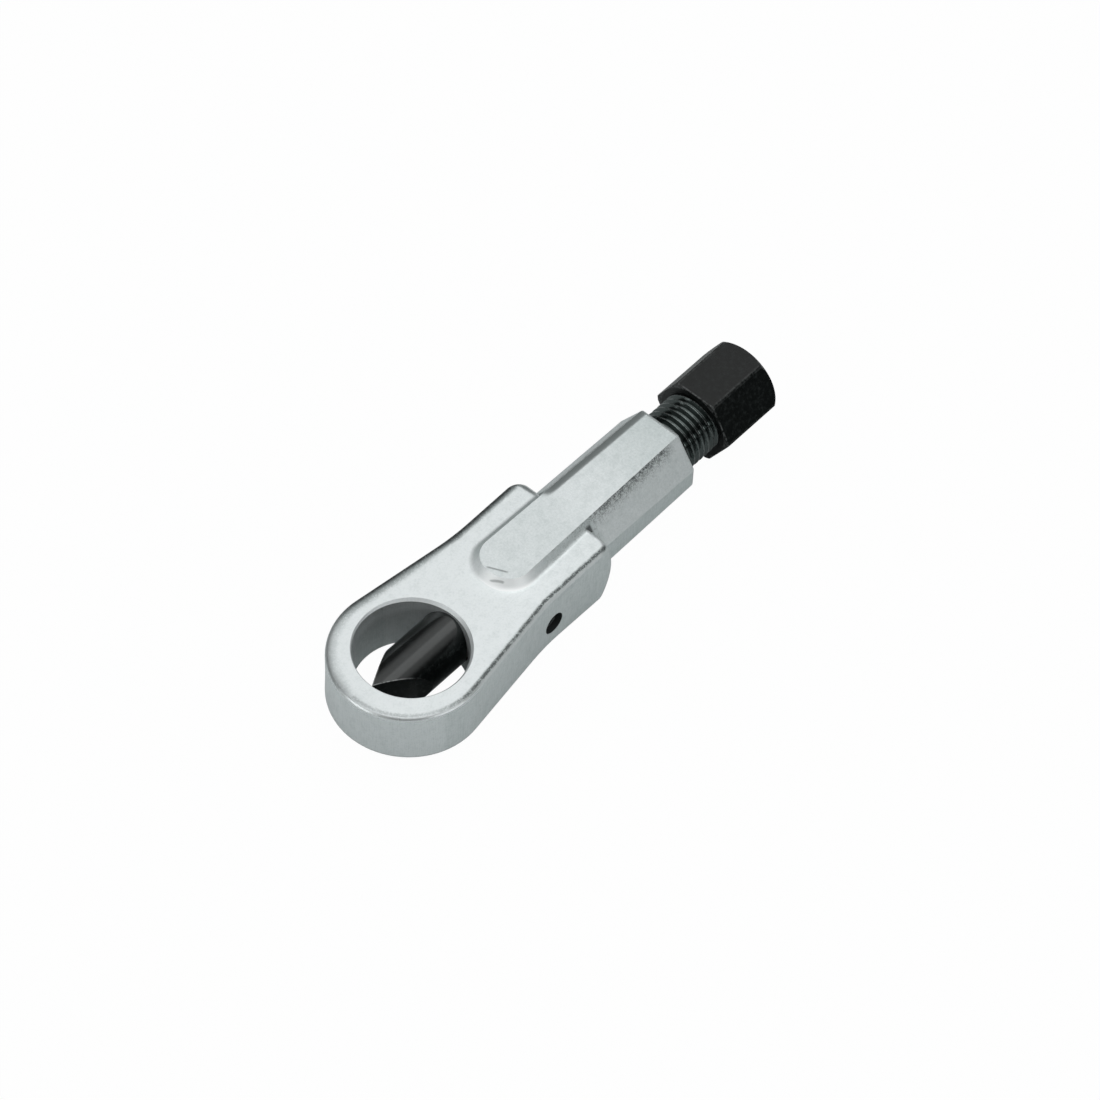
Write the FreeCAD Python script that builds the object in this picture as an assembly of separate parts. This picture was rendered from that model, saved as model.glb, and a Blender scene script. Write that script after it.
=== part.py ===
import FreeCAD, Part
import math
import os

from FreeCAD import Vector

# Nut splitter, all lengths in millimetres.
# Origin: centre of the ring opening, on the screw axis, at mid thickness.
# +X runs along the screw from the ring to its hexagon, +Z is up through the ring.

# Ring and plate
OPENING_R = 11.85
RING_R = 16.5
RING_CENTRE_X = -0.7
RING_HALF_THICKNESS = 7.1
SHOULDER_HALF_THICKNESS = 8.0
SHOULDER_STEP = 3.05
SHOULDER_END_FLAT = 0.05
SHOULDER_START_X = 26.5
SHOULDER_END_X = 45.6
SHOULDER_END_BULGE = 2.3
WAIST_BLEND_R = 60.0
FORGED_EDGE_R = 1.2
OPENING_CHAMFER = 0.4

# Neck, and the rib that carries it forward over the plate
NECK_END_X = 75.8
NECK_HALF_HEIGHT = 9.6
NECK_HALF_WIDTH = 9.7
RIB_FRONT_X = 23.3
TOP_HALF_WIDTH_FRONT = 5.7
TOP_HALF_WIDTH_END = 4.85
FLANK_SPREAD = 0.657
RIB_CORNER_R = 5.0
NECK_END_R = 1.1
RIB_FOOT_R = 1.5

# Chisel
CHISEL_R = 6.0
TIP_X = -11.2
WEDGE_HALF_ANGLE = 28.0
EDGE_LAND = 0.12
CHISEL_END_X = 36.4
CHISEL_END_CHAMFER = 0.6

# Pressure screw: the M14 x 1.5 thread is a plain shank here
SHANK_R = 7.0
HEX_AF = 17.0
HEX_CORNER_TILT = 30.0
HEX_START_X = 86.2
CROWN_START_X = 100.8
CROWN_BEND_X = 102.5
CROWN_BEND_R = 8.6
SCREW_END_X = 103.2
CROWN_FACE_R = 6.6
HEX_BACK_CHAMFER = 0.35
NOSE_CHAMFER = 1.0
NOSE_GAP = 1.2

# Thrust ball between the chisel and the screw
BALL_R = 1.5

# Guide screw: M5 with a dog point that runs in the keyway of the chisel
GUIDE_X = 28.6
GUIDE_Z = -1.2
GUIDE_R = 2.5
GUIDE_RECESS = 1.2
GUIDE_BODY_LENGTH = 4.0
DOG_R = 1.7
DOG_END_Y = -4.95
GUIDE_SOCKET_AF = 2.5
GUIDE_SOCKET_DEPTH = 2.0
GUIDE_CHAMFER = 0.4
KEYWAY_FLOOR_Y = -4.6

# Travel and fits
THREAD_PITCH = 1.5
TURNS_BACK = 11
FORWARD_TRAVEL = THREAD_PITCH / 6
BACK_TRAVEL = THREAD_PITCH * TURNS_BACK
SLIDE_CLEARANCE = 0.05
KEY_CLEARANCE = 0.2
KEYWAY_END_GAP = 0.25
SCREW_BORE_START_X = 25.0
BORE_ENTRY_CHAMFER = 0.8
OVERRUN = 5.0
NEAR = 0.01
WALL_SLOPE = 0.5

# Values that follow from the ones above
SHOULDER_HALF_WIDTH = NECK_HALF_WIDTH + SHOULDER_STEP
SHOULDER_CORNER_R = SHOULDER_STEP - SHOULDER_END_FLAT
WEDGE_ANGLE = math.radians(WEDGE_HALF_ANGLE)
NOSE_X = CHISEL_END_X + NOSE_GAP
BALL_X = CHISEL_END_X + NOSE_GAP / 2
HEX_CORNER_R = HEX_AF / math.sqrt(3)
KEYWAY_R = DOG_R + KEY_CLEARANCE
KEYWAY_FRONT_X = GUIDE_X - BACK_TRAVEL - KEYWAY_END_GAP
KEYWAY_BACK_X = GUIDE_X + FORWARD_TRAVEL + KEYWAY_END_GAP
AXIS_X = Vector(1, 0, 0)
AXIS_Y = Vector(0, 1, 0)
AXIS_Z = Vector(0, 0, 1)


def cylinder_x(radius, start, end):
    """Bar along the screw axis from start to end."""
    return Part.makeCylinder(radius, end - start, Vector(start, 0, 0), AXIS_X)


def polygon_face(points):
    """Flat face inside a closed polygon."""
    return Part.Face(Part.makePolygon(points + points[:1]))


def hexagon_bar(across_flats, base, direction, length, first_corner):
    """Hexagonal bar that starts at base; first_corner points at one corner."""
    corner = Vector(first_corner).normalize() * (across_flats / math.sqrt(3))
    turns = [FreeCAD.Rotation(direction, 60 * step) for step in range(6)]
    points = [base + turn.multVec(corner) for turn in turns]
    return polygon_face(points).extrude(direction * length)


def middle_of(edge):
    """Middle point of an edge."""
    return edge.valueAt((edge.FirstParameter + edge.LastParameter) / 2)


def edges_where(shape, test):
    """Edges whose middle point passes the test."""
    return [edge for edge in shape.Edges if test(middle_of(edge))]


def flank_touch():
    """Point where the straight flank of the plate leaves the ring."""
    reach = SHOULDER_START_X - RING_CENTRE_X
    spread = math.hypot(reach, SHOULDER_HALF_WIDTH)
    bearing = math.atan2(SHOULDER_HALF_WIDTH, reach)
    tangent = bearing + math.acos(RING_R / spread)
    return Vector(RING_CENTRE_X + RING_R * math.cos(tangent), RING_R * math.sin(tangent), 0)


def waist_blend():
    """Start, middle and end of the arc that leads the flank into the shoulder."""
    corner = Vector(SHOULDER_START_X, SHOULDER_HALF_WIDTH, 0)
    inwards = (corner - flank_touch()).normalize()
    turn = math.atan2(-inwards.y, inwards.x)
    run = WAIST_BLEND_R * math.tan(turn / 2)
    rise = WAIST_BLEND_R / math.cos(turn / 2) - WAIST_BLEND_R
    towards_centre = Vector(math.sin(turn / 2), math.cos(turn / 2), 0)
    return corner - inwards * run, corner + towards_centre * rise, corner + AXIS_X * run


def plate_outline():
    """Ring arc, two straight flanks with their blends, and the square shoulder."""
    touch = flank_touch()
    shoulder_end = Vector(SHOULDER_END_X + SHOULDER_END_BULGE, SHOULDER_HALF_WIDTH, 0)
    left = [touch] + list(waist_blend()) + [shoulder_end]
    right = [Vector(point.x, -point.y, 0) for point in left]
    edges = [Part.Arc(touch, Vector(RING_CENTRE_X - RING_R, 0, 0), right[0]).toShape()]
    for side in (left, right):
        edges.append(Part.makeLine(side[0], side[1]))
        edges.append(Part.Arc(side[1], side[2], side[3]).toShape())
        edges.append(Part.makeLine(side[3], side[4]))
    edges.append(Part.makeLine(left[4], right[4]))
    return Part.Face(Part.Wire(Part.__sortEdges__(edges)))


def end_offcut():
    """What the bulged end of the shoulder leaves off a square-ended slab."""
    top = Vector(SHOULDER_END_X, -RING_R, plate_face_level())
    furthest = Vector(
        SHOULDER_END_X + SHOULDER_END_BULGE, -RING_R, -SHOULDER_END_X * math.sin(plate_lean())
    )
    rise = top.z - furthest.z
    radius = (rise ** 2 + SHOULDER_END_BULGE ** 2) / (2 * SHOULDER_END_BULGE)
    half_turn = math.asin(rise / radius) / 2
    centre = furthest - AXIS_X * radius
    middle = centre + Vector(math.cos(half_turn), 0, math.sin(half_turn)) * radius
    below = furthest - AXIS_Z * OVERRUN
    above = top + AXIS_Z * OVERRUN
    square = Part.makePolygon([
        furthest, below, below + AXIS_X * OVERRUN, above + AXIS_X * OVERRUN, above, top,
    ])
    curve = Part.Arc(top, middle, furthest).toShape()
    return Part.Face(Part.Wire([curve] + square.Edges)).extrude(AXIS_Y * 2 * RING_R)


def plate():
    """Slab under the plate's upper face: upright walls, bulged end, rounded corners."""
    outline = plate_outline()
    outline.translate(AXIS_Z * -OVERRUN)
    slab = outline.extrude(AXIS_Z * (OVERRUN + plate_face_level())).cut(end_offcut())
    corners = edges_where(slab, lambda at: abs(at.z) < OVERRUN and at.x > SHOULDER_END_X
                          and abs(abs(at.y) - SHOULDER_HALF_WIDTH) < NEAR)
    return slab.makeFillet(SHOULDER_CORNER_R, corners)


def plate_lean():
    """Angle of the plate's upper face, which rises from the ring to the shoulder."""
    return math.atan((SHOULDER_HALF_THICKNESS - RING_HALF_THICKNESS) / SHOULDER_END_X)


def plate_face_level():
    """Distance of the plate's upper face from the origin, square to that face."""
    return RING_HALF_THICKNESS * math.cos(plate_lean())


def neck_side_points(side):
    """Front, corner and end points on one side, each at the top and at mid height."""
    taper = neck_taper()
    centre = rib_corner_centre(side)
    normal = Vector(math.sin(taper), side * math.cos(taper), 0)
    front, flank, end = [], [], []
    for drop in (0, NECK_HALF_HEIGHT):
        spread = FLANK_SPREAD * drop
        lift = AXIS_Z * (NECK_HALF_HEIGHT - drop)
        half_width = TOP_HALF_WIDTH_END + spread / math.cos(taper)
        front.append(centre - AXIS_X * (RIB_CORNER_R + spread) + lift)
        flank.append(centre + normal * (RIB_CORNER_R + spread) + lift)
        end.append(Vector(NECK_END_X, side * half_width, 0) + lift)
    return front, flank, end


def neck_taper():
    """Angle in plan by which each flank leans inwards towards the neck's end."""
    narrowing = TOP_HALF_WIDTH_FRONT - TOP_HALF_WIDTH_END
    return math.atan(narrowing / (NECK_END_X - RIB_FRONT_X))


def rib_corner_centre(side):
    """Axis of the cone that rounds one front corner of the rib."""
    taper = neck_taper()
    inset = RIB_CORNER_R * math.tan(taper) + RIB_CORNER_R / math.cos(taper)
    return Vector(RIB_FRONT_X + RIB_CORNER_R, side * (TOP_HALF_WIDTH_FRONT - inset), 0)


def upper_half_neck():
    """Flat top, flanks and front of one slope, and cones for the front corners."""
    left = neck_side_points(1)
    right = neck_side_points(-1)
    faces = []
    for side, (front, flank, end) in ((1, left), (-1, right)):
        turn = -side * (90 + math.degrees(neck_taper()))
        faces.append(Part.makeLine(*front).revolve(rib_corner_centre(side), AXIS_Z, turn))
        faces.append(polygon_face([flank[0], end[0], end[1], flank[1]]))
    for (top, foot), (top_right, foot_right) in ((left[0], right[0]), (left[2], right[2])):
        faces.append(polygon_face([top, top_right, foot_right, foot]))
    for level in (NECK_HALF_HEIGHT, 0):
        rim = [edge for face in faces for edge in face.Edges
               if all(abs(corner.Z - level) < NEAR for corner in edge.Vertexes)]
        faces.append(Part.Face(Part.Wire(Part.__sortEdges__(rim))))
    block = Part.makeSolid(Part.makeShell(faces))
    slab = Part.makeBox(
        NECK_END_X, 2 * NECK_HALF_WIDTH, NECK_HALF_HEIGHT, Vector(0, -NECK_HALF_WIDTH, 0)
    )
    return block.common(slab)


def neck_and_rib():
    """Eight-sided bar from both halves, with the edges of its end rounded."""
    upper = upper_half_neck()
    lower = upper.mirror(Vector(0, 0, 0), AXIS_Z)
    neck = upper.fuse(lower).removeSplitter()
    end = edges_where(neck, lambda at: at.x > NECK_END_X - NEAR)
    return neck.makeFillet(NECK_END_R, end)


def upper_half_forging():
    """Plate and neck joined square to the plate's face, then leaned back into place."""
    lean = math.degrees(plate_lean())
    slab = plate()
    neck = neck_and_rib()
    neck.rotate(Vector(0, 0, 0), AXIS_Y, lean)
    seam = slab.section(neck)
    body = slab.fuse(neck).removeSplitter()
    foot = edges_where(body, lambda at: abs(at.z - plate_face_level()) < NEAR
                       and seam.distToShape(Part.Vertex(at))[0] < NEAR)
    body = body.makeFillet(RIB_FOOT_R, foot)
    rim = [edge for edge in body.Edges if on_plate_rim(body, edge)]
    body = body.makeFillet(FORGED_EDGE_R, rim)
    body.rotate(Vector(0, 0, 0), AXIS_Y, -lean)
    reach = RING_R + OVERRUN
    above = Part.makeBox(
        reach + NECK_END_X, 2 * reach, NECK_HALF_HEIGHT + OVERRUN, Vector(-reach, -reach, 0)
    )
    return body.common(above)


def forging():
    """Both halves of the forging meet at the parting plane."""
    upper = upper_half_forging()
    return upper.fuse(upper.mirror(Vector(0, 0, 0), AXIS_Z)).removeSplitter()


def on_plate_rim(body, edge):
    """True for an edge where the plate's upper face meets its side wall."""
    at = middle_of(edge)
    if at.x > SHOULDER_END_X + NEAR or abs(at.z - plate_face_level()) > NEAR:
        return False
    faces = body.ancestorsOfType(edge, Part.Face)
    normals = [face.normalAt(*face.Surface.parameter(at)) for face in faces]
    return any(abs(normal.z) < WALL_SLOPE for normal in normals)


def main_bore():
    """Plain guide bore for the chisel, then the wider bore of the screw."""
    guide = cylinder_x(CHISEL_R + SLIDE_CLEARANCE, 0, SCREW_BORE_START_X)
    screw_r = SHANK_R + SLIDE_CLEARANCE
    screw = cylinder_x(screw_r, SCREW_BORE_START_X, NECK_END_X + OVERRUN)
    entry = Part.makeCone(
        screw_r, screw_r + BORE_ENTRY_CHAMFER, BORE_ENTRY_CHAMFER,
        Vector(NECK_END_X - BORE_ENTRY_CHAMFER, 0, 0), AXIS_X
    )
    return guide.fuse([screw, entry])


def ring_opening():
    """Through opening with a small chamfer on both rims."""
    half = RING_HALF_THICKNESS
    hole = Part.makeCylinder(OPENING_R, 2 * (half + OVERRUN), Vector(0, 0, -half - OVERRUN))
    rim_r = OPENING_R + OPENING_CHAMFER
    top = Part.makeCone(
        OPENING_R, rim_r + OVERRUN, OPENING_CHAMFER + OVERRUN,
        Vector(0, 0, half - OPENING_CHAMFER)
    )
    return hole.fuse([top, top.mirror(Vector(0, 0, 0), AXIS_Z)])


def splitter_frame():
    """Forged ring, shoulder and neck with the opening, bores and guide hole."""
    guide_hole = Part.makeCylinder(
        GUIDE_R + SLIDE_CLEARANCE, SHOULDER_HALF_WIDTH + OVERRUN,
        Vector(GUIDE_X, 0, GUIDE_Z), -AXIS_Y
    )
    body = forging().cut(main_bore())
    body = body.cut(guide_hole)
    return body.cut(ring_opening())


def chisel():
    """Round bar with a wedge tip, a closed keyway and a ball seat."""
    bar = cylinder_x(CHISEL_R, TIP_X, CHISEL_END_X)
    rear = edges_where(bar, lambda at: at.x > CHISEL_END_X - NEAR)
    bar = bar.makeChamfer(CHISEL_END_CHAMFER, rear)
    length = (CHISEL_R + OVERRUN) / math.tan(WEDGE_ANGLE)
    wedge = polygon_face([
        Vector(TIP_X, -EDGE_LAND, -CHISEL_R - OVERRUN),
        Vector(TIP_X + length, -CHISEL_R - OVERRUN, -CHISEL_R - OVERRUN),
        Vector(CHISEL_END_X, -CHISEL_R - OVERRUN, -CHISEL_R - OVERRUN),
        Vector(CHISEL_END_X, CHISEL_R + OVERRUN, -CHISEL_R - OVERRUN),
        Vector(TIP_X + length, CHISEL_R + OVERRUN, -CHISEL_R - OVERRUN),
        Vector(TIP_X, EDGE_LAND, -CHISEL_R - OVERRUN),
    ]).extrude(AXIS_Z * 2 * (CHISEL_R + OVERRUN))
    return bar.common(wedge).cut(keyway()).cut(ball_seat(-AXIS_X))


def ball_seat(direction):
    """Square-angled centre hole that the ball sits in, from the ball towards its tip."""
    depth = (BALL_R + SLIDE_CLEARANCE) * math.sqrt(2)
    return Part.makeCone(depth, 0, depth, Vector(BALL_X, 0, 0), direction)


def keyway():
    """Slot with round ends, milled into the flank that faces the guide screw."""
    depth = CHISEL_R + OVERRUN + KEYWAY_FLOOR_Y
    ends = [
        Part.makeCylinder(KEYWAY_R, depth, Vector(x, KEYWAY_FLOOR_Y, GUIDE_Z), -AXIS_Y)
        for x in (KEYWAY_FRONT_X, KEYWAY_BACK_X)
    ]
    middle = Part.makeBox(
        KEYWAY_BACK_X - KEYWAY_FRONT_X, depth, 2 * KEYWAY_R,
        Vector(KEYWAY_FRONT_X, KEYWAY_FLOOR_Y - depth, GUIDE_Z - KEYWAY_R)
    )
    return middle.fuse(ends).removeSplitter()


def pressure_screw():
    """Plain shank with a ball seat in its nose and a crowned hexagon."""
    shank = cylinder_x(SHANK_R, NOSE_X, HEX_START_X)
    nose = edges_where(shank, lambda at: at.x < NOSE_X + NEAR)
    shank = shank.makeChamfer(NOSE_CHAMFER, nose)
    corner_tilt = math.radians(HEX_CORNER_TILT)
    first_corner = Vector(0, -math.sin(corner_tilt), math.cos(corner_tilt))
    hexagon = hexagon_bar(
        HEX_AF, Vector(HEX_START_X, 0, 0), AXIS_X, SCREW_END_X - HEX_START_X, first_corner
    )
    return shank.fuse(hexagon.common(hexagon_turning())).cut(ball_seat(AXIS_X))


def hexagon_turning():
    """Turned blank: slight chamfer behind, a crown of two slopes at the free end."""
    outer = HEX_CORNER_R
    profile = [
        (HEX_START_X, 0),
        (HEX_START_X, outer - HEX_BACK_CHAMFER),
        (HEX_START_X + HEX_BACK_CHAMFER, outer),
        (CROWN_START_X, outer),
        (CROWN_BEND_X, CROWN_BEND_R),
        (SCREW_END_X, CROWN_FACE_R),
        (SCREW_END_X, 0),
    ]
    half_section = polygon_face([Vector(x, radius, 0) for x, radius in profile])
    return half_section.revolve(Vector(0, 0, 0), AXIS_X, 360)


def guide_screw():
    """Grub screw with a hexagon socket outside and a dog point inside."""
    outer_y = -SHOULDER_HALF_WIDTH + GUIDE_RECESS
    inner_y = outer_y + GUIDE_BODY_LENGTH
    centre = Vector(GUIDE_X, outer_y, GUIDE_Z)
    body = Part.makeCylinder(GUIDE_R, GUIDE_BODY_LENGTH, centre, AXIS_Y)
    ends = edges_where(body, lambda at: abs(at.y - outer_y) < NEAR
                       or abs(at.y - inner_y) < NEAR)
    body = body.makeChamfer(GUIDE_CHAMFER, ends)
    dog = Part.makeCylinder(DOG_R, DOG_END_Y - outer_y, centre, AXIS_Y)
    socket = hexagon_bar(
        GUIDE_SOCKET_AF, centre, AXIS_Y, GUIDE_SOCKET_DEPTH, AXIS_Z
    )
    return body.fuse(dog).cut(socket)


def thrust_ball():
    """Hardened ball that lets the screw turn against the chisel."""
    return Part.makeSphere(BALL_R, Vector(BALL_X, 0, 0))


NODES = {
    "splitter_frame": splitter_frame,
    "chisel": chisel,
    "thrust_ball": thrust_ball,
    "pressure_screw": pressure_screw,
    "guide_screw": guide_screw,
}

os.makedirs("parts", exist_ok=True)
for name, make in NODES.items():
    solid = make().Solids[0]
    solid.exportStep(os.path.join("parts", name + ".step"))
    box = solid.optimalBoundingBox(False)
    print(name, "volume", round(solid.Volume, 2), "valid", solid.isValid(),
          "x", round(box.XMin, 2), round(box.XMax, 2),
          "y", round(box.YMin, 2), round(box.YMax, 2),
          "z", round(box.ZMin, 2), round(box.ZMax, 2))
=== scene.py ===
# %% [markdown]
# # Dressing a nut splitter
# A nut splitter is a forged ring with a chisel in it. A screw with a hexagon head pushes the
# chisel through a seized nut. The solids of its five pieces are loaded below as a fixed frame.
# Two of them have threads in the real tool and plain shanks in the solids, so these are made
# anew here as surfaces worked out with numpy. The other three keep their shape. Every piece
# then gets a finish made of shader nodes, and the last cells set up the light and the camera.

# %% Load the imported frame
import functools
import math

import bmesh
import bpy
import numpy as np
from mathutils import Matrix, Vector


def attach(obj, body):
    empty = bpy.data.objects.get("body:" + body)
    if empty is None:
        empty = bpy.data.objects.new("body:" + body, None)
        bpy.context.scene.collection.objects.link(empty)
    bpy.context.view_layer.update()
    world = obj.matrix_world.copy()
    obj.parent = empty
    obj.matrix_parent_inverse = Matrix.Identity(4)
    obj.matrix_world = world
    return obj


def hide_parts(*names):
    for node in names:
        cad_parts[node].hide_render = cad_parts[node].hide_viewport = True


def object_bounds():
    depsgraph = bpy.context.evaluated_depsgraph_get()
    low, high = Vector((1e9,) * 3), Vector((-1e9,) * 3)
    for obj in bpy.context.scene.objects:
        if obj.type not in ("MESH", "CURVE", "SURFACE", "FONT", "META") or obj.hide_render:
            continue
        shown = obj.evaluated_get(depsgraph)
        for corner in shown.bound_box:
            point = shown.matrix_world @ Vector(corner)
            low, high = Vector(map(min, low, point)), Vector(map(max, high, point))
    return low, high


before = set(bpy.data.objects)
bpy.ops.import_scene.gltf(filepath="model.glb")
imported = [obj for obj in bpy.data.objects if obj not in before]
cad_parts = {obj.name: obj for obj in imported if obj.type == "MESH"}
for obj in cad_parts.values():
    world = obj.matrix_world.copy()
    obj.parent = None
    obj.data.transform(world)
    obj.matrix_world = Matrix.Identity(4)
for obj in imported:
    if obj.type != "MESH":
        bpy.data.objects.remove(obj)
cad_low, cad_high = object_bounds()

MM = 0.001
cad_size = (cad_high - cad_low) / MM
print("solids measure", [round(side, 2) for side in cad_size], "mm")

# %% [markdown]
# ## Arithmetic on shader sockets
# A finish is a formula over the surface: so much of this noise, that much darker on the edges.
# Written with nodes alone such a formula is hard to read. The class below wraps one output
# socket and overloads Python's operators, so that `0.3 + 0.2 * grain` adds the two Math nodes.

# %% A socket that takes part in sums
class Signal:
    """One output socket. Each operator adds the Math node that works it out."""

    def __init__(self, finish, socket):
        self.finish = finish
        self.socket = socket

    def math(self, operation, *others):
        inputs = dict(enumerate((self,) + others))
        return self.finish.node("ShaderNodeMath", {"operation": operation}, inputs)["Value"]

    def __add__(self, other):
        return self.math("ADD", other)

    def __mul__(self, other):
        return self.math("MULTIPLY", other)

    def __sub__(self, other):
        return self.math("SUBTRACT", other)

    def __rsub__(self, other):
        return (self * -1.0) + other

    def __pow__(self, other):
        return self.math("POWER", other)

    def __abs__(self):
        return self.math("ABSOLUTE")

    __radd__ = __add__
    __rmul__ = __mul__

    def or_more(self, other):
        """The larger of the two."""
        return self.math("MAXIMUM", other)

    def rise(self, low, high):
        """0 below low, 1 above high, and a smooth step between them."""
        settings = {"interpolation_type": "SMOOTHSTEP"}
        inputs = {"Value": self, "From Min": low, "From Max": high}
        return self.finish.node("ShaderNodeMapRange", settings, inputs)["Result"]

    def fall(self, low, high):
        """1 below low, 0 above high, and a smooth step between them."""
        return 1.0 - self.rise(low, high)

    def within(self, low, high, soft):
        """1 between low and high, with steps soft wide outside them."""
        return self.rise(low - soft, low) * self.fall(high, high + soft)

# %% [markdown]
# ## One method for every other node
# Any other node is added by `node`, which sets the node's options first and its sockets after,
# because the options decide which sockets a node has. The patterns read Object coordinates.
# Each piece sits at the origin with its place in its mesh, so these are metres in the frame.

# %% A finish under construction
class Finish:
    """A material whose nodes are added one by one."""

    def __init__(self, name, **constants):
        self.material = bpy.data.materials.new(name)
        self.material.use_nodes = True
        self.tree = self.material.node_tree
        self.shader = self.tree.nodes["Principled BSDF"]
        for socket, value in constants.items():
            self.shader.inputs[socket.replace("_", " ")].default_value = value
        self.place = self.node("ShaderNodeTexCoord")["Object"]

    def node(self, kind, settings=(), inputs=()):
        """Adds a node, sets its options and sockets, and returns its outputs by name."""
        made = self.tree.nodes.new(kind)
        for option, value in dict(settings).items():
            setattr(made, option, value)
        for key, value in dict(inputs).items():
            self.feed(self.socket_of(made, key), value)
        return {out.name: Signal(self, out) for out in made.outputs if out.enabled}

    def socket_of(self, made, key):
        """The input with that number, or the one in use that has that name."""
        if isinstance(key, int):
            return made.inputs[key]
        return next(found for found in made.inputs if found.name == key and found.enabled)

    def feed(self, socket, value):
        """Links a signal to a socket, or sets the socket to a constant."""
        if isinstance(value, Signal):
            self.tree.links.new(value.socket, socket)
        else:
            socket.default_value = value

    def noise(self, size, stretch=(1, 1, 1), detail=3.0, roughness=0.55):
        """Noise from 0 to 1 with grains about size metres wide, longer where stretch is over 1."""
        squeezed = self.node("ShaderNodeVectorMath", {"operation": "DIVIDE"}, {
            0: self.place, 1: tuple(size * side for side in stretch)})["Vector"]
        return self.node("ShaderNodeTexNoise", {}, {
            "Vector": squeezed, "Scale": 1.0, "Detail": detail, "Roughness": roughness})["Fac"]

    def blend(self, first, second, share):
        """A colour that goes from first to second as share goes from 0 to 1."""
        return self.node("ShaderNodeMix", {"data_type": "RGBA"}, {
            "Factor": share, "A": first, "B": second})["Result"]

    def facing(self):
        """The three parts of the surface's direction."""
        normal = self.node("ShaderNodeNewGeometry")["Normal"]
        parts = self.node("ShaderNodeSeparateXYZ", {}, {"Vector": normal})
        return parts["X"], parts["Y"], parts["Z"]

    def millimetres(self):
        """The place on the piece, along each axis, in millimetres."""
        scaled = self.node("ShaderNodeVectorMath", {"operation": "DIVIDE"}, {
            0: self.place, 1: (MM, MM, MM)})["Vector"]
        parts = self.node("ShaderNodeSeparateXYZ", {}, {"Vector": scaled})
        return parts["X"], parts["Y"], parts["Z"]

    def set(self, color=None, roughness=None, relief=None, depth=0.0):
        """Feeds the shader; relief is a height from 0 to 1 that stands depth metres tall."""
        if color is not None:
            self.feed(self.shader.inputs["Base Color"], color)
        if roughness is not None:
            self.feed(self.shader.inputs["Roughness"], roughness)
        if relief is not None:
            bump = self.node("ShaderNodeBump", {}, {
                "Height": relief, "Distance": depth, "Strength": 1.0})
            self.feed(self.shader.inputs["Normal"], bump["Normal"])
        return self.material


# %% [markdown]
# ## The plated forging
# The frame is a steel forging that was blasted and then plated. Its upper faces have a fine
# frosted grain, and the side walls show upright strokes from the linishing belt. Dirt and thin
# plating leave dark freckles on the rounded rims and under the edges of the neck's top. Shade is
# painted into the colour too: a band on the far rims, the crease behind the shoulder, the foot of
# the rib, its press marks, the rolled edge, the guide screw's hole, and the tops towards the
# neck's end. The walls at the ring's end and the front of the rib are painted lighter. The finish
# finds these places from the direction that the surface faces and from its place. The measures
# it needs come first, in millimetres.

# %% Measures of the forging, and where a point of it lies
RING_R = 16.5
RING_CENTRE_X = -0.7
TANGENT_X = 1.65
TANGENT_OUT = 16.4
TANGENT_LEAN_X, TANGENT_LEAN_Y = 0.1426, 0.9898
SHOULDER_HALF_WIDTH = 12.75
RIB_FRONT_X = 23.3
RIB_HALF_WIDTH = 5.7
RIB_TAPER = 0.0162
GUIDE_X = 28.6
GUIDE_Z = -1.2
GUIDE_BORE = (6.52, 6.70)
ROLL_WIDTH = 1.5

plating = Finish("plated_forging")
face_x, face_y, face_z = plating.facing()
at_x, at_y, at_z = plating.millimetres()
level = abs(face_z)
height = abs(at_z)
width = abs(at_y)

# %% [markdown]
# Seen from above, the outline is a circle around the ring, then a straight line that leaves the
# circle at its tangent, and then the side of the shoulder. The distance from that outline says
# where the rims are. Each zone below is 1 inside and 0 outside, and the pairs of numbers are the
# limits between which it changes.

# %% Zones on the rims and the walls
from_centre = at_x - RING_CENTRE_X
from_ring = RING_R - (from_centre * from_centre + at_y * at_y) ** 0.5
from_tangent = TANGENT_OUT - TANGENT_LEAN_X * at_x - TANGENT_LEAN_Y * width
from_flank = from_tangent.or_more(SHOULDER_HALF_WIDTH - width)
on_ring = at_x.fall(TANGENT_X - 0.01, TANGENT_X + 0.01)
from_edge = from_ring * on_ring + from_flank * (1.0 - on_ring)

wall = level.fall(0.15, 0.45)
on_plate = level.rise(0.30, 0.50) * height.within(6.0, 8.4, 0.2) * at_x.fall(46.5, 48.0)
on_rim = on_plate * (0.35 + 0.65 * at_x.rise(-9.0, 3.0))
near_rim = from_edge.rise(0.25, 0.70) * from_edge.fall(0.85, 1.65) * at_y.fall(0.0, 2.0)
# Painted shade: the rims on the far side, where y is positive, get a smooth dark band in the
# colour; the wider far band also holds specks.
far_rim_shade = from_edge.fall(0.70, 1.60) * at_y.rise(-2.0, 4.0)
far_width = 2.20 + 0.9 * at_x.fall(12.0, 24.0)
far_shade_and_specks = from_edge.fall(1.20, far_width) * at_y.rise(-2.0, 4.0)
glazed = level.within(0.10, 0.80, 0.10) * from_edge.fall(1.2, 1.5) * at_x.fall(1.0, 4.0)
# Painted shade: the dark crease at the shoulder's back spreads with a ragged edge onto the rims
# near it.
corner = near_rim.or_more(far_rim_shade * 0.5) * on_plate * at_x.rise(42.0, 44.5)

# %% Zones on the neck and the rib
upward = level.rise(0.90, 0.95)
near_face = (face_y * -1.0).rise(0.1, 0.5)
flank = level.within(0.50, 0.60, 0.06) * width.fall(9.9, 10.1) * at_x.rise(27.0, 31.0)
under_edge = flank * height.rise(4.6, 9.5) ** 1.6 * at_x.rise(33.0, 54.0) * at_x.fall(70.0, 75.0)
# Painted shade: the crease behind the shoulder is painted dark, with a ragged edge.
hollow_shade = flank * at_x.within(45.4, 46.3, 0.5) * height.fall(8.0, 8.8)
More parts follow.
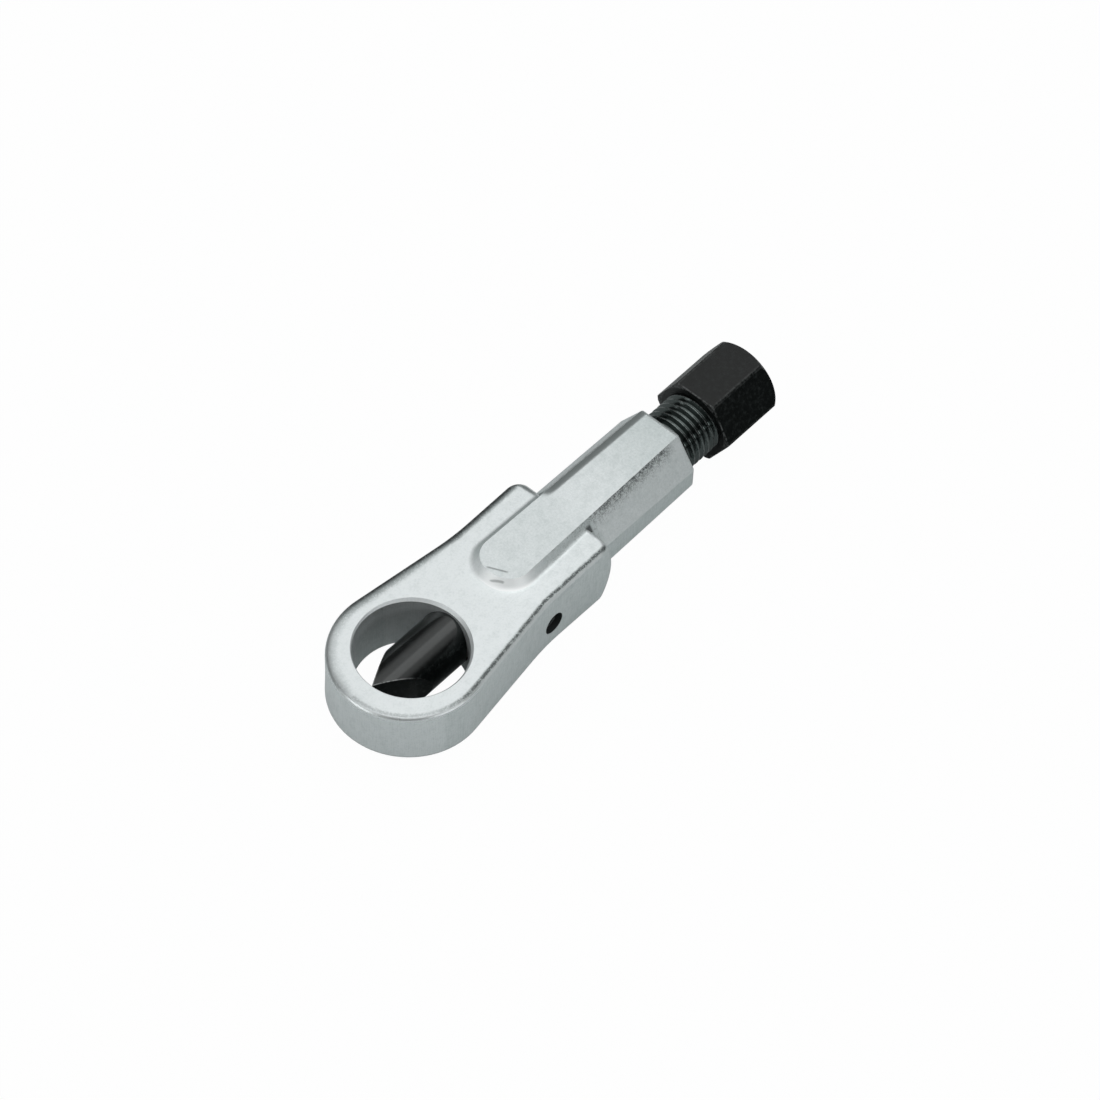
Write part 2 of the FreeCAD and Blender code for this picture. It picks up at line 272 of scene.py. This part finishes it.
# Painted shade: the slope and foot of the rib, painted darker on its far side and towards its back
# on the near side, with specks on the near side.
foot_shade_and_specks = level.within(0.35, 0.93, 0.1) * width.fall(8.8, 9.4) * at_x.within(26.0, 46.0, 3.0)
# Painted highlight: the front slope of the rib, which is painted pale and made less metallic.
rib_front_highlight = level.fall(0.93, 0.98) * from_edge.rise(2.0, 2.5) * at_x.fall(25.0, 31.0)
rib_front_highlight = rib_front_highlight * height.rise(7.2, 7.5)

# %% [markdown]
# The left edge of the neck's top is rolled down. The roll grows from zero, 1.5 mm inside the
# edge, and its square lowers the relief; the roll is also painted darker as shade. Two press
# marks cross the front of the rib and are painted dark as the shade in their creases. The bore
# of the guide screw is painted dark as the shade in the hole. The distance from the bore's axis
# is left squared, and so are its two limits in GUIDE_BORE.

# %% The rolled edge, the press marks and the side bore
top_edge = RIB_HALF_WIDTH - RIB_TAPER * (at_x - RIB_FRONT_X)
# Painted shade: the rolled edge also darkens the colour.
roll_and_shade = (at_y - top_edge + ROLL_WIDTH).or_more(0.0) * at_x.rise(44.0, 48.0) * upward
# Painted shade: two creases across the front of the rib are painted dark.
across = (at_x - 24.2) * 0.906 + (at_y - 1.6) * 0.42
upper_mark = abs(across + 0.5).fall(0.05, 0.32) * at_y.within(-2.2, 0.9, 0.8)
lower_mark = abs(across + 2.7).fall(0.05, 0.26) * at_y.within(-3.2, -0.9, 0.5)
press_mark_shade = upper_mark.or_more(lower_mark) * at_z.rise(8.0, 8.4)
# Painted shade: the wall of the guide screw's hole is painted dark.
bore_x, bore_z = at_x - GUIDE_X, at_z - GUIDE_Z
bore = (bore_x * bore_x + bore_z * bore_z).fall(*GUIDE_BORE) * at_y.within(-12.6, -5.0, 0.3)

# %% [markdown]
# Each kind of mark is a noise of its own size, cut off so that only its peaks are left. Some of
# the masks are painted shade. Where two of them meet, the darker one is seen, so the dirt and
# painted shade is the largest of them all. The dullness of the plating is a sum, because there
# one layer lies on the next, and painted shade and light are added into it.

# %% Noises, dirt, dullness and painted shade
grain = plating.noise(0.50 * MM, detail=4.0)
frost = plating.noise(0.14 * MM, detail=3.0, roughness=0.7)
clouds = plating.noise(1.8 * MM, detail=4.0)
strokes = plating.noise(0.16 * MM, stretch=(1, 1, 22), detail=3.0)
blotches = plating.noise(0.30 * MM, detail=5.0, roughness=0.75)
ragged = plating.noise(1.1 * MM, detail=4.0, roughness=0.7)

specks = blotches * 0.7 + ragged * 0.4
near_specks = (specks + near_rim * 0.12).rise(0.56, 0.70)
far_specks = far_shade_and_specks * (specks + far_shade_and_specks * 0.12).rise(0.48, 0.68)
under_specks = (blotches * 0.7 + ragged * 0.3 + under_edge * 0.10).rise(0.51, 0.67)

# The darkest of the marks and of the painted shade.
dirt_and_painted_shade = functools.reduce(Signal.or_more, [
    # The far rim's smooth dark band is painted shade; the specks on the rims are marks.
    (near_rim * near_specks + far_rim_shade * 0.60 + far_specks * 0.60) * on_rim,
    # Specks in the painted shadow on the near side of the rib's foot.
    foot_shade_and_specks * near_face * at_x.rise(29.0, 38.0) * near_specks * 0.5,
    under_edge * under_specks,
    # Painted shade at the shoulder's back corner.
    corner * ragged.rise(0.35, 0.5),
    flank * at_x.fall(76.0, 79.0) * blotches.rise(0.60, 0.72) * 0.45,
    # Painted shade in the crease behind the shoulder.
    hollow_shade * ragged.rise(0.32, 0.46),
    # Painted shade in the two creases.
    press_mark_shade * 0.6,
    # Painted shade in the guide screw's hole.
    bore * 1.25,
])
dullness_and_painted_light = sum([
    clouds.rise(0.40, 0.75) * 0.20,
    (grain - 0.5) * 0.9,
    (frost - 0.5) * 0.8,
    wall * (1.1 * strokes - 0.15),
    # Painted light: walls that face the ring's end are painted lighter than the side walls.
    wall * (face_x * -1.0).rise(0.30, 0.42) * -0.35,
    # The far band's darkening is painted shade; the near rim's is its freckles.
    (near_rim + far_shade_and_specks) * on_rim * 0.8,
    under_edge * 0.12,
    # Painted shade on the far side of the rib's foot, and a painted shadow on its near side
    # towards the back.
    foot_shade_and_specks * face_y.rise(0.1, 0.6) * 0.9,
    foot_shade_and_specks * near_face * at_x.rise(27.0, 36.0) * 0.5,
    # Painted shade on the rolled edge.
    roll_and_shade * 0.9,
    # Painted shade: the middle of the rib's top, the end of the neck's top and the whole frame
    # towards the neck's end are darker, for light that falls off along the tool.
    upward * height.rise(8.4, 9.0) * at_x.fall(38.0, 52.0) * 0.30,
    upward * at_x.rise(50.0, 78.0) * 0.5,
    at_x.rise(15.0, 75.0) * 0.3,
])

# %% [markdown]
# The base colour goes from clean plating to each stain and painted shade in turn. The same marks
# are also pits in the relief and rough spots in the gloss, so that light finds them from every
# side. The front of the rib is painted pale as a highlight, and it is made less metallic, so it
# mirrors less.

# %% Bright plating over forged steel
# The dull and stain colours are reached both by marks and by painted shade.
SILVER = (0.735, 0.775, 0.780, 1.0)
DULL_AND_SHADE = (0.500, 0.555, 0.552, 1.0)
STAIN_AND_SHADE = (0.040, 0.046, 0.046, 1.0)
HIGHLIGHT_PALE = (0.95, 0.98, 0.98, 1.0)
METAL = 0.72

tone = plating.blend(SILVER, DULL_AND_SHADE, dullness_and_painted_light)
# Painted highlight on the front of the rib.
tone = plating.blend(tone, HIGHLIGHT_PALE, rib_front_highlight * at_y.fall(-1.0, 3.0))
tone = plating.blend(tone, STAIN_AND_SHADE, dirt_and_painted_shade * 0.8)
plating.feed(plating.shader.inputs["Metallic"], METAL - rib_front_highlight * 0.45)
plating.set(
    color=tone,
    roughness=0.44 + 0.10 * clouds - 0.12 * wall + 0.12 * flank + 0.2 * dirt_and_painted_shade - glazed * 0.20,
    relief=grain * 0.45 + frost * 0.30 + wall * strokes * 0.4 + dirt_and_painted_shade * -0.8 - roll_and_shade * roll_and_shade * 12.0,
    depth=0.05 * MM,
)
print("plated_forging has", len(plating.tree.nodes), "nodes")

# %% [markdown]
# ## Black oxide
# Screw and chisel are hardened steel with a black oxide skin under a film of oil. The skin is
# nearly black and the oil gives it a clear gloss. Tool marks show through it. The corners of the
# hexagon are rubbed bright, the crests of the thread are rubbed and painted lighter as a
# highlight, and the line where the chisel's bar meets its wedge, brightest at the tip, is a
# painted highlight. Where the oil was wiped off, the gloss is gone too: that is why one flat of
# the hexagon looks black beside a grey one. Both kinds of place are formulas over x, y and z in
# millimetres.

# %% Rubbed, highlighted and dry places on the dark pieces
WEDGE_SLOPE = 0.5317
WEDGE_HALF_WIDTH = 6.075


def off_wedge(x, y):
    """Distance from the faces of the wedge, which are where |y| = slope * x + half width."""
    return abs(abs(y) - WEDGE_SLOPE * x - WEDGE_HALF_WIDTH)


def off_axis(y, z):
    """The square of the distance from the axis of screw and chisel."""
    return y * y + z * z


def wedge_edge_highlight(x, y, z):
    """A painted highlight on the line where the round bar meets the wedge, brightest at the tip.
    """
    return off_wedge(x, y).fall(0.08, 0.34) * off_axis(y, z).rise(34.2, 35.6) * x.fall(-7.5, -1.5)


def dry_wedge(x, y, z):
    """The two ground faces of the wedge, and the side of the bar that rubs on the bore."""
    return off_wedge(x, y).fall(0.02, 0.10).or_more((y * -1.0).rise(3.2, 4.8))


def rubbed_corners(x, y, z):
    """The edge at the back of the hexagon's flats, and a trace on its six corners."""
    back_edge = x.fall(86.40, 86.62) * off_axis(y, z).rise(70, 72)
    return (off_axis(y, z).rise(91.0, 92.6) * 0.12).or_more(back_edge * 0.35)


def dry_flat(x, y, z):
    """One flat of the hexagon, which faces 150 degrees: y * cos 150 + z * sin 150 is 8.5 there."""
    return (y * -0.866 + z * 0.5).rise(8.30, 8.42)


def crest_wear_and_highlight(x, y, z):
    """The crests of the thread, where the radius is near its full 7 mm: rubbed, and painted
    lighter as a highlight.
    """
    return off_axis(y, z).rise(46.8, 48.6) * 0.30


def rubbed_rim(x, y, z):
    """The outer face of the small grub screw."""
    return y.fall(-11.5, -11.3) * 0.30


# %% Oiled black oxide
OXIDE = (0.0014, 0.0019, 0.0018, 1.0)
OXIDE_THIN = (0.0075, 0.0095, 0.0093, 1.0)
# The colour of rubbed metal and specks, and of the painted highlights on the chisel's wedge and
# the thread's crests.
RUBBED_AND_HIGHLIGHT = (0.20, 0.21, 0.21, 1.0)
OIL_TINT = (0.84, 1.0, 0.97, 1.0)


def black_oxide(name, gloss, shine, marks, edges, film=0.0, dry=None):
    """Black skin with specks and bright edges.

    marks stretches the tool marks, and edges gives the bright places: rubbed edges, and painted
    highlights along the chisel's wedge and on the thread's crests. film is the weight of the oil
    film, and dry gives the places where it was wiped off.
    """
    skin = Finish(
        name, Specular_IOR_Level=shine, Specular_Tint=OIL_TINT, Coat_Roughness=gloss + 0.05
    )
    patches = skin.noise(0.9 * MM, detail=4.0, roughness=0.65)
    lines = skin.noise(0.10 * MM, stretch=marks, detail=2.0)
    specks = skin.noise(0.20 * MM, detail=1.5).rise(0.74, 0.80)
    # Rubbed edges, and on chisel and thread a painted highlight, lighten the skin here.
    wear_and_highlight = edges(*skin.millimetres()) * skin.noise(0.7 * MM, detail=4.0).rise(0.34, 0.62)
    shade = skin.blend(OXIDE, OXIDE_THIN, patches.rise(0.42, 0.72))
    shade = skin.blend(shade, RUBBED_AND_HIGHLIGHT, (specks * 0.35).or_more(wear_and_highlight))
    if dry is not None:
        oiled = 1.0 - dry(*skin.millimetres()) * (1.0 - 0.3 * patches.rise(0.5, 0.7))
        skin.feed(skin.shader.inputs["Coat Weight"], oiled * film)
    skin.set(
        color=shade,
        roughness=gloss + 0.14 * patches + 0.06 * lines,
        relief=lines * 0.4 + patches * 0.5 + wear_and_highlight * -0.5,
        depth=0.012 * MM,
    )
    return skin.material


chisel_oxide = black_oxide(
    "ground_black_oxide", 0.12, 0.12, (30, 1, 1), wedge_edge_highlight, 0.66, dry_wedge
)
head_oxide = black_oxide(
    "milled_black_oxide", 0.36, 0.06, (8, 1, 1), rubbed_corners, 0.46, dry_flat
)
turned_oxide = black_oxide("turned_black_oxide", 0.05, 1.00, (0.6, 12, 12), crest_wear_and_highlight)
guide_oxide = black_oxide("small_screw_black_oxide", 0.30, 0.50, (1, 1, 1), rubbed_rim)

# %% [markdown]
# ## Bright steel of the thrust ball
# A bearing ball is ground and polished, so its finish is nearly a mirror with the faintest
# ripple in it. It hides between the screw and the chisel.

# %% Polished ball
ball = Finish("bright_ball_steel", Metallic=1.0)
ripple = ball.noise(0.8 * MM)
ball.set(
    color=ball.blend((0.66, 0.66, 0.67, 1), (0.74, 0.74, 0.74, 1), ripple),
    roughness=0.06 + 0.05 * ripple,
    relief=ripple,
    depth=0.002 * MM,
)

# %% [markdown]
# ## From a grid of points to a piece
# A turned piece is a stack of rings along the screw axis. Each ring is a row of the grid, and
# a ring may have a radius that changes with the angle, which is how a hexagon comes in. Rows
# run from the nose of the piece over its outside to the other end, so the quads face outwards.

# %% Rings along the axis, and the faces between them
def ring_points(x, radius, angle):
    """Points at (x, radius * cos(angle), radius * sin(angle)), for whole arrays."""
    x, radius, angle = np.broadcast_arrays(x, radius, angle)
    return np.stack([x, radius * np.cos(angle), radius * np.sin(angle)], axis=-1)


def ring_faces(rows, columns, lead=0):
    """Quads between neighbouring rows. The last column joins the first, lead rows further on."""
    row, column = np.meshgrid(np.arange(rows - 1), np.arange(columns), indexing="ij")
    following = (column + 1) % columns
    step = np.where(following == 0, lead, 0)
    inside = row + step + 1 < rows
    quads = np.stack([
        row * columns + column,
        (row + step) * columns + following,
        (row + step + 1) * columns + following,
        (row + 1) * columns + column,
    ], axis=-1)
    return quads[inside]


def make_piece(name, patches, body, material, replaced=()):
    """One object from several patches of points and quads; rings that touch are merged."""
    points, quads, count = [], [], 0
    for patch_points, patch_quads in patches:
        flat = patch_points.reshape(-1, 3) * MM
        points.append(flat)
        quads.append(patch_quads + count)
        count += len(flat)
    mesh = bpy.data.meshes.new(name)
    mesh.from_pydata(np.concatenate(points), [], np.concatenate(quads))
    piece = bpy.data.objects.new(name, mesh)
    bpy.context.scene.collection.objects.link(piece)
    merge_doubles(mesh)
    mesh.shade_smooth()
    mesh.set_sharp_from_angle(angle=math.radians(32))
    mesh.materials.append(material)
    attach(piece, body)
    if replaced:
        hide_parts(*replaced)
    print(name, "has", len(mesh.polygons), "faces")
    return piece


def merge_doubles(mesh, distance=0.0005 * MM):
    """Joins points that lie on each other, which also closes the poles."""
    work = bmesh.new()
    work.from_mesh(mesh)
    bmesh.ops.remove_doubles(work, verts=work.verts, dist=distance)
    open_edges = sum(edge.is_boundary for edge in work.edges)
    work.to_mesh(mesh)
    work.free()
    print(mesh.name, "has", open_edges, "open edges")


# %% [markdown]
# ## A real screw thread
# A thread is a profile carried along a helix. The grid below is a sheared one: each column
# starts a little further along the axis than the one before, and after a full turn the last
# column is exactly one pitch ahead, where it joins the first. The two ends are cut flat by
# holding the axial place between the ends, and a limit on the radius gives the lead-in cone.

# %% Helical surface
def thread_patch(start, end, pitch, crest_r, depth, columns, lead_in=0.0, lead_out=0.0):
    """x = (cycle + share + angle / turn) * pitch, and the radius follows the profile's share."""
    share = np.array([-0.060, 0.060, 0.085, 0.330, 0.400, 0.500, 0.600, 0.670, 0.915])
    height = np.array([1.00, 1.00, 0.94, 0.10, 0.02, 0.00, 0.02, 0.10, 0.94])
    cycles = np.arange(math.floor(start / pitch) - 2, math.ceil(end / pitch) + 2)
    steps = (cycles[:, None] + share[None, :]).reshape(-1, 1)
    heights = np.tile(height, len(cycles)).reshape(-1, 1)
    angle = np.arange(columns) * (2 * math.pi / columns)
    x = np.clip((steps + angle / (2 * math.pi)) * pitch, start, end)
    root_r = crest_r - depth
    radius = root_r + depth * heights
    radius = np.minimum(radius, root_r + depth * (x - start) / max(lead_in, 1e-6))
    radius = np.minimum(radius, root_r + depth * (end - x) / max(lead_out, 1e-6))
    return ring_points(x, radius, angle), ring_faces(len(steps), columns, lead=len(share))


def turned_patch(x, radius, angle):
    """Rings at the places x with the radii given, one row each."""
    rows = max(len(np.atleast_1d(x)), len(np.atleast_1d(radius)))
    x = np.asarray(x, float).reshape(rows, -1)
    radius = np.asarray(radius, float).reshape(rows, -1)
    return ring_points(x, radius, angle), ring_faces(rows, len(angle))


# %% [markdown]
# ## The pressure screw
# Head and shank are one bar of steel. The shank has an M14 thread with a pitch of 1.5 mm, and
# its nose has a seat for the ball. It is closed at both ends, and its hidden end reaches a
# little into the head, so that no gap shows at the root of the thread.

# %% Threaded shank
PITCH = 1.5
CREST_R = 7.0
THREAD_DEPTH = 0.92
NOSE_X = 37.6
HEAD_X = 86.2
SEAT_R = 1.59
SHANK_COLUMNS = 96

shank_angle = np.arange(SHANK_COLUMNS) * (2 * math.pi / SHANK_COLUMNS)
root_r = CREST_R - THREAD_DEPTH
nose = turned_patch([NOSE_X + SEAT_R, NOSE_X, NOSE_X], [0.0, SEAT_R, root_r], shank_angle)
shank_end = HEAD_X + 0.3
thread = thread_patch(NOSE_X, shank_end, PITCH, CREST_R, THREAD_DEPTH, SHANK_COLUMNS, 1.0, 0.2)
cap = turned_patch([shank_end, shank_end], [root_r, 0.0], shank_angle)
shank = make_piece(
    "pressure_screw_shank", [nose, thread, cap], "screw", turned_oxide
)

# %% [markdown]
# The head is a hexagon whose end was turned to a crown, so the crown's edge dips in an arc on
# every flat. Rather than cut one shape with the other, each column of the grid runs along the
# flat up to the place where the crown has that column's radius, and then follows the crown.
# The six corners are rounded a little: that is where the real head catches the light.

# %% Hexagon with a crown
ACROSS_FLATS = 17.0
CORNER_ROUND = 0.28
HEAD_END_X = 103.2
CROWN_X = 100.8
CROWN_FACE_R = 6.6
CROWN_BULGE = 0.16
CORNER_R = ACROSS_FLATS / math.sqrt(3)
BACK_CHAMFER = 0.35


def hexagon_outline(across, rounding):
    """Angles and radii around a hexagon with rounded corners, first corner at angle zero."""
    centre = (across / 2 - rounding) / math.cos(math.pi / 6)
    turn = np.linspace(-math.pi / 6, math.pi / 6, 7)
    corner = np.stack([centre + rounding * np.cos(turn), rounding * np.sin(turn)])
    next_corner = np.array([
        math.cos(math.pi / 3) * corner[0, 0] - math.sin(math.pi / 3) * corner[1, 0],
        math.sin(math.pi / 3) * corner[0, 0] + math.cos(math.pi / 3) * corner[1, 0],
    ])
    along = np.linspace(0, 1, 14)[1:-1]
    flat = corner[:, -1:] * (1 - along) + next_corner[:, None] * along
    side = np.concatenate([corner, flat], axis=1)
    angle = np.arctan2(side[1], side[0])
    radius = np.hypot(side[0], side[1])
    return (angle + np.arange(6)[:, None] * math.pi / 3).ravel(), np.tile(radius, 6)


def crown_curve():
    """Arc through the crown's two ends: places along the axis and radii, radius falling."""
    part = np.linspace(0, 1, 33)
    bulge = 4 * CROWN_BULGE * part * (1 - part)
    run, fall = HEAD_END_X - CROWN_X, CORNER_R - CROWN_FACE_R
    return CROWN_X + run * part + fall * bulge, CORNER_R - fall * part + run * bulge


head_angle, head_r = hexagon_outline(ACROSS_FLATS, CORNER_ROUND)
curve_x, curve_r = crown_curve()
flat_end_x = np.interp(head_r, curve_r[::-1], curve_x[::-1])
back_r = np.minimum(head_r, CORNER_R - BACK_CHAMFER)
back_x = HEAD_X + (head_r - back_r)
drop = np.linspace(0, 1, 9)[:, None]
crown_r = head_r * (1 - drop) + CROWN_FACE_R * drop
crown_x = np.interp(crown_r, curve_r[::-1], curve_x[::-1])
along_flat = np.linspace(0, 1, 6)[:, None]
head_x = np.concatenate([
    np.full((3, len(head_r)), HEAD_X),
    back_x * (1 - along_flat) + flat_end_x * along_flat,
    crown_x[1:],
    np.full((3, len(head_r)), HEAD_END_X),
])
head_radius = np.concatenate([
    np.stack([back_r * 0.0, back_r * 0.6, back_r]),
    np.tile(head_r, (6, 1)),
    crown_r[1:],
    np.stack([head_r * 0 + CROWN_FACE_R * share for share in (0.66, 0.33, 0.0)]),
])
head = make_piece(
    "pressure_screw_head",
    [turned_patch(head_x, head_radius, head_angle)],
    "screw", head_oxide, ["pressure_screw"],
)

# %% [markdown]
# ## The guide screw
# A small grub screw sits in the side of the frame. Its point runs in a slot of the chisel, so
# the chisel can slide and not turn. The screw has a hexagon socket outside, an M5 thread, and
# a plain round point. Its axis is across the frame, so its rings are made along X like the
# others and then turned into place.

# %% Grub screw with its socket
GUIDE_OUTER_Y = -11.55
GUIDE_BODY = 4.0
GUIDE_POINT = 6.6
GUIDE_CREST_R = 2.5
GUIDE_DEPTH = 0.49
POINT_R = 1.7
POINT_CHAMFER = 0.2
SOCKET_FLATS = 2.5
SOCKET_DEPTH = 2.5
SOCKET_WALL = 2.0
GUIDE_COLUMNS = 72
GUIDE_PITCH = 0.8
GUIDE_LEAD = 0.45

guide_angle = np.arange(GUIDE_COLUMNS) * (2 * math.pi / GUIDE_COLUMNS)
guide_root = GUIDE_CREST_R - GUIDE_DEPTH
fold = (guide_angle + math.pi / 6) % (math.pi / 3) - math.pi / 6
socket_r = (SOCKET_FLATS / 2) / np.cos(np.abs(fold) - math.pi / 6)
socket_r = socket_r / socket_r.max() * SOCKET_FLATS / math.sqrt(3)
socket = turned_patch(
    [SOCKET_DEPTH, SOCKET_WALL, 0.12, 0.0, 0.0],
    np.stack([socket_r * 0, socket_r, socket_r, socket_r + 0.1, socket_r * 0 + guide_root]),
    guide_angle,
)
guide_thread = thread_patch(
    0.0, GUIDE_BODY, GUIDE_PITCH, GUIDE_CREST_R, GUIDE_DEPTH, GUIDE_COLUMNS,
    GUIDE_LEAD, GUIDE_LEAD,
)
point = turned_patch(
    [GUIDE_BODY, GUIDE_BODY, GUIDE_POINT - POINT_CHAMFER, GUIDE_POINT, GUIDE_POINT],
    [guide_root, POINT_R, POINT_R, POINT_R - POINT_CHAMFER, 0.0],
    guide_angle,
)


def turn_across(patch):
    """From rings along X to rings along Y, set in the guide hole of the frame."""
    points, quads = patch
    along, side, rise = points[..., 0], points[..., 1], points[..., 2]
    return np.stack([GUIDE_X - side, GUIDE_OUTER_Y + along, GUIDE_Z + rise], axis=-1), quads


guide = make_piece(
    "guide_screw_threaded", [turn_across(patch) for patch in (socket, guide_thread, point)],
    "frame", guide_oxide, ["guide_screw"],
)

# %% [markdown]
# ## Finishes for the pieces that keep their shape
# Forging, chisel and ball are right as they were modelled, so they only change material. A
# solid from the frame has one material slot, and the new finish takes its place.

# %% Dress the remaining solids
dressed = {
    "splitter_frame": plating.material,
    "chisel": chisel_oxide,
    "thrust_ball": ball.material,
}
for name, material in dressed.items():
    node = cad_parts[name]
    node.data.materials.clear()
    node.data.materials.append(material)
    print(name, "wears", material.name)

# %% [markdown]
# ## Floor
# The tool lies on the flats of its rib and neck, on a plain pale sheet. The camera sees that
# sheet white, as the picture does, while light and reflections get the sheet's own colour.

# %% Pale sheet under the tool
sheet = Finish("pale_sheet", Roughness=0.7)
sheet.shader.inputs["Base Color"].default_value = (0.60, 0.63, 0.63, 1)
paths = sheet.node("ShaderNodeLightPath")
glow = sheet.node("ShaderNodeEmission", {}, {"Color": (1, 1, 1, 1), "Strength": 1.0})
soft = sheet.node("ShaderNodeMixShader", {}, {
    0: (paths["Is Camera Ray"] * 0.98).or_more(paths["Is Glossy Ray"] * 0.03),
    1: Signal(sheet, sheet.shader.outputs["BSDF"]),
    2: glow["Emission"],
})
surface = sheet.tree.nodes["Material Output"].inputs["Surface"]
sheet.feed(surface, soft["Shader"])

HALF_FLOOR = 3.0
floor_mesh = bpy.data.meshes.new("floor")
corners = [
    (side_x * HALF_FLOOR, side_y * HALF_FLOOR, cad_low.z)
    for side_x, side_y in ((-1, -1), (1, -1), (1, 1), (-1, 1))
]
floor_mesh.from_pydata(corners, [], [(0, 1, 2, 3)])
floor_mesh.materials.append(sheet.material)
floor = bpy.data.objects.new("floor", floor_mesh)
bpy.context.scene.collection.objects.link(floor)

# %% [markdown]
# ## Light
# Metal shows what is around it, so the room matters as much as the lamps. It has a pale
# ceiling, which the upper faces mirror, and dark walls, which make rims and black skin dark.
# Two softboxes below the ceiling add soft shadows and draw the long highlight on the chisel.
# Two low ones, at the ring's end and beside it, light the front of the rib and put a glint
# on the ring's rim.

# %% Softboxes and room
def softbox(name, place, target, width, height, power):
    """A rectangle of light at place that looks at target, sizes in metres and power in watts."""
    lamp = bpy.data.lights.new(name, "AREA")
    lamp.shape = "RECTANGLE"
    lamp.size = width
    lamp.size_y = height
    lamp.energy = power
    holder = bpy.data.objects.new(name, lamp)
    bpy.context.scene.collection.objects.link(holder)
    aim = Vector(target) - Vector(place)
    holder.location = place
    holder.rotation_mode = "QUATERNION"
    holder.rotation_quaternion = aim.to_track_quat("-Z", "Y")
    return holder


middle = (cad_low + cad_high) / 2
ring_centre = (0.0, 0.0, 0.0)
softbox("back_softbox", (0.70, 0.52, 0.95), middle, 0.8, 0.8, 0.6)
softbox("overhead_softbox", (0.50, -0.02, 1.12), ring_centre, 0.6, 0.6, 1.5)
softbox("rim_softbox", (-0.02, -0.95, 0.27), ring_centre, 0.70, 0.20, 1.2)
softbox("left_softbox", (-0.86, 0.30, 0.24), middle, 0.7, 0.4, 1.7)


class Room(Finish):
    """The same node helpers on the world, whose output is its Background."""

    def __init__(self, name):
        self.world = bpy.data.worlds.new(name)
        self.world.use_nodes = True
        self.tree = self.world.node_tree
        self.shader = self.tree.nodes["Background"]
        self.place = self.node("ShaderNodeTexCoord")["Generated"]


WALLS = 0.10
CEILING = 1.15
room = Room("room")
upwards = room.node("ShaderNodeSeparateXYZ", {}, {"Vector": room.place})["Z"]
seen = room.node("ShaderNodeLightPath")["Is Camera Ray"]
strength = WALLS + (CEILING - WALLS) * upwards.rise(0.58, 0.80)
room.feed(room.shader.inputs["Strength"], strength * (1.0 - seen) + seen)
room.feed(room.shader.inputs["Color"], (1, 1, 1, 1))
bpy.context.scene.world = room.world
bpy.context.scene.view_settings.view_transform = "Standard"

# %% [markdown]
# ## Camera
# The camera was found by fitting known corners of the tool to the picture. It looks along the
# tool from its ring end, 53 degrees above the horizon, through a long lens. Its direction is
# given as a heading and a height, and it is rolled by three degrees.

# %% Camera at the picture's place
HEADING = math.radians(-51.024)
HEIGHT = math.radians(52.655)
ROLL = math.radians(3.13)
DISTANCE = 1.081144
FOCAL_PIXELS = 5346.38
IMAGE_PIXELS = 1100
AIM = np.array([0.041205, -0.000544, 0.0])

back = np.array([
    math.sin(HEADING) * math.cos(HEIGHT), -math.cos(HEADING) * math.cos(HEIGHT), math.sin(HEIGHT)
])
level_right = np.array([math.cos(HEADING), math.sin(HEADING), 0.0])
level_up = np.cross(back, level_right)
right = level_right * math.cos(ROLL) + level_up * math.sin(ROLL)
up = np.cross(back, right)

lens = bpy.data.cameras.new("camera")
lens.sensor_width = 36.0
lens.lens = lens.sensor_width * FOCAL_PIXELS / IMAGE_PIXELS
camera = bpy.data.objects.new("camera", lens)
bpy.context.scene.collection.objects.link(camera)
matrix = np.eye(4)
matrix[:3, 0], matrix[:3, 1], matrix[:3, 2] = right, up, back
matrix[:3, 3] = AIM + back * DISTANCE
camera.matrix_world = Matrix(matrix.tolist())
bpy.context.scene.camera = camera
print("focal length", round(lens.lens, 1), "mm")
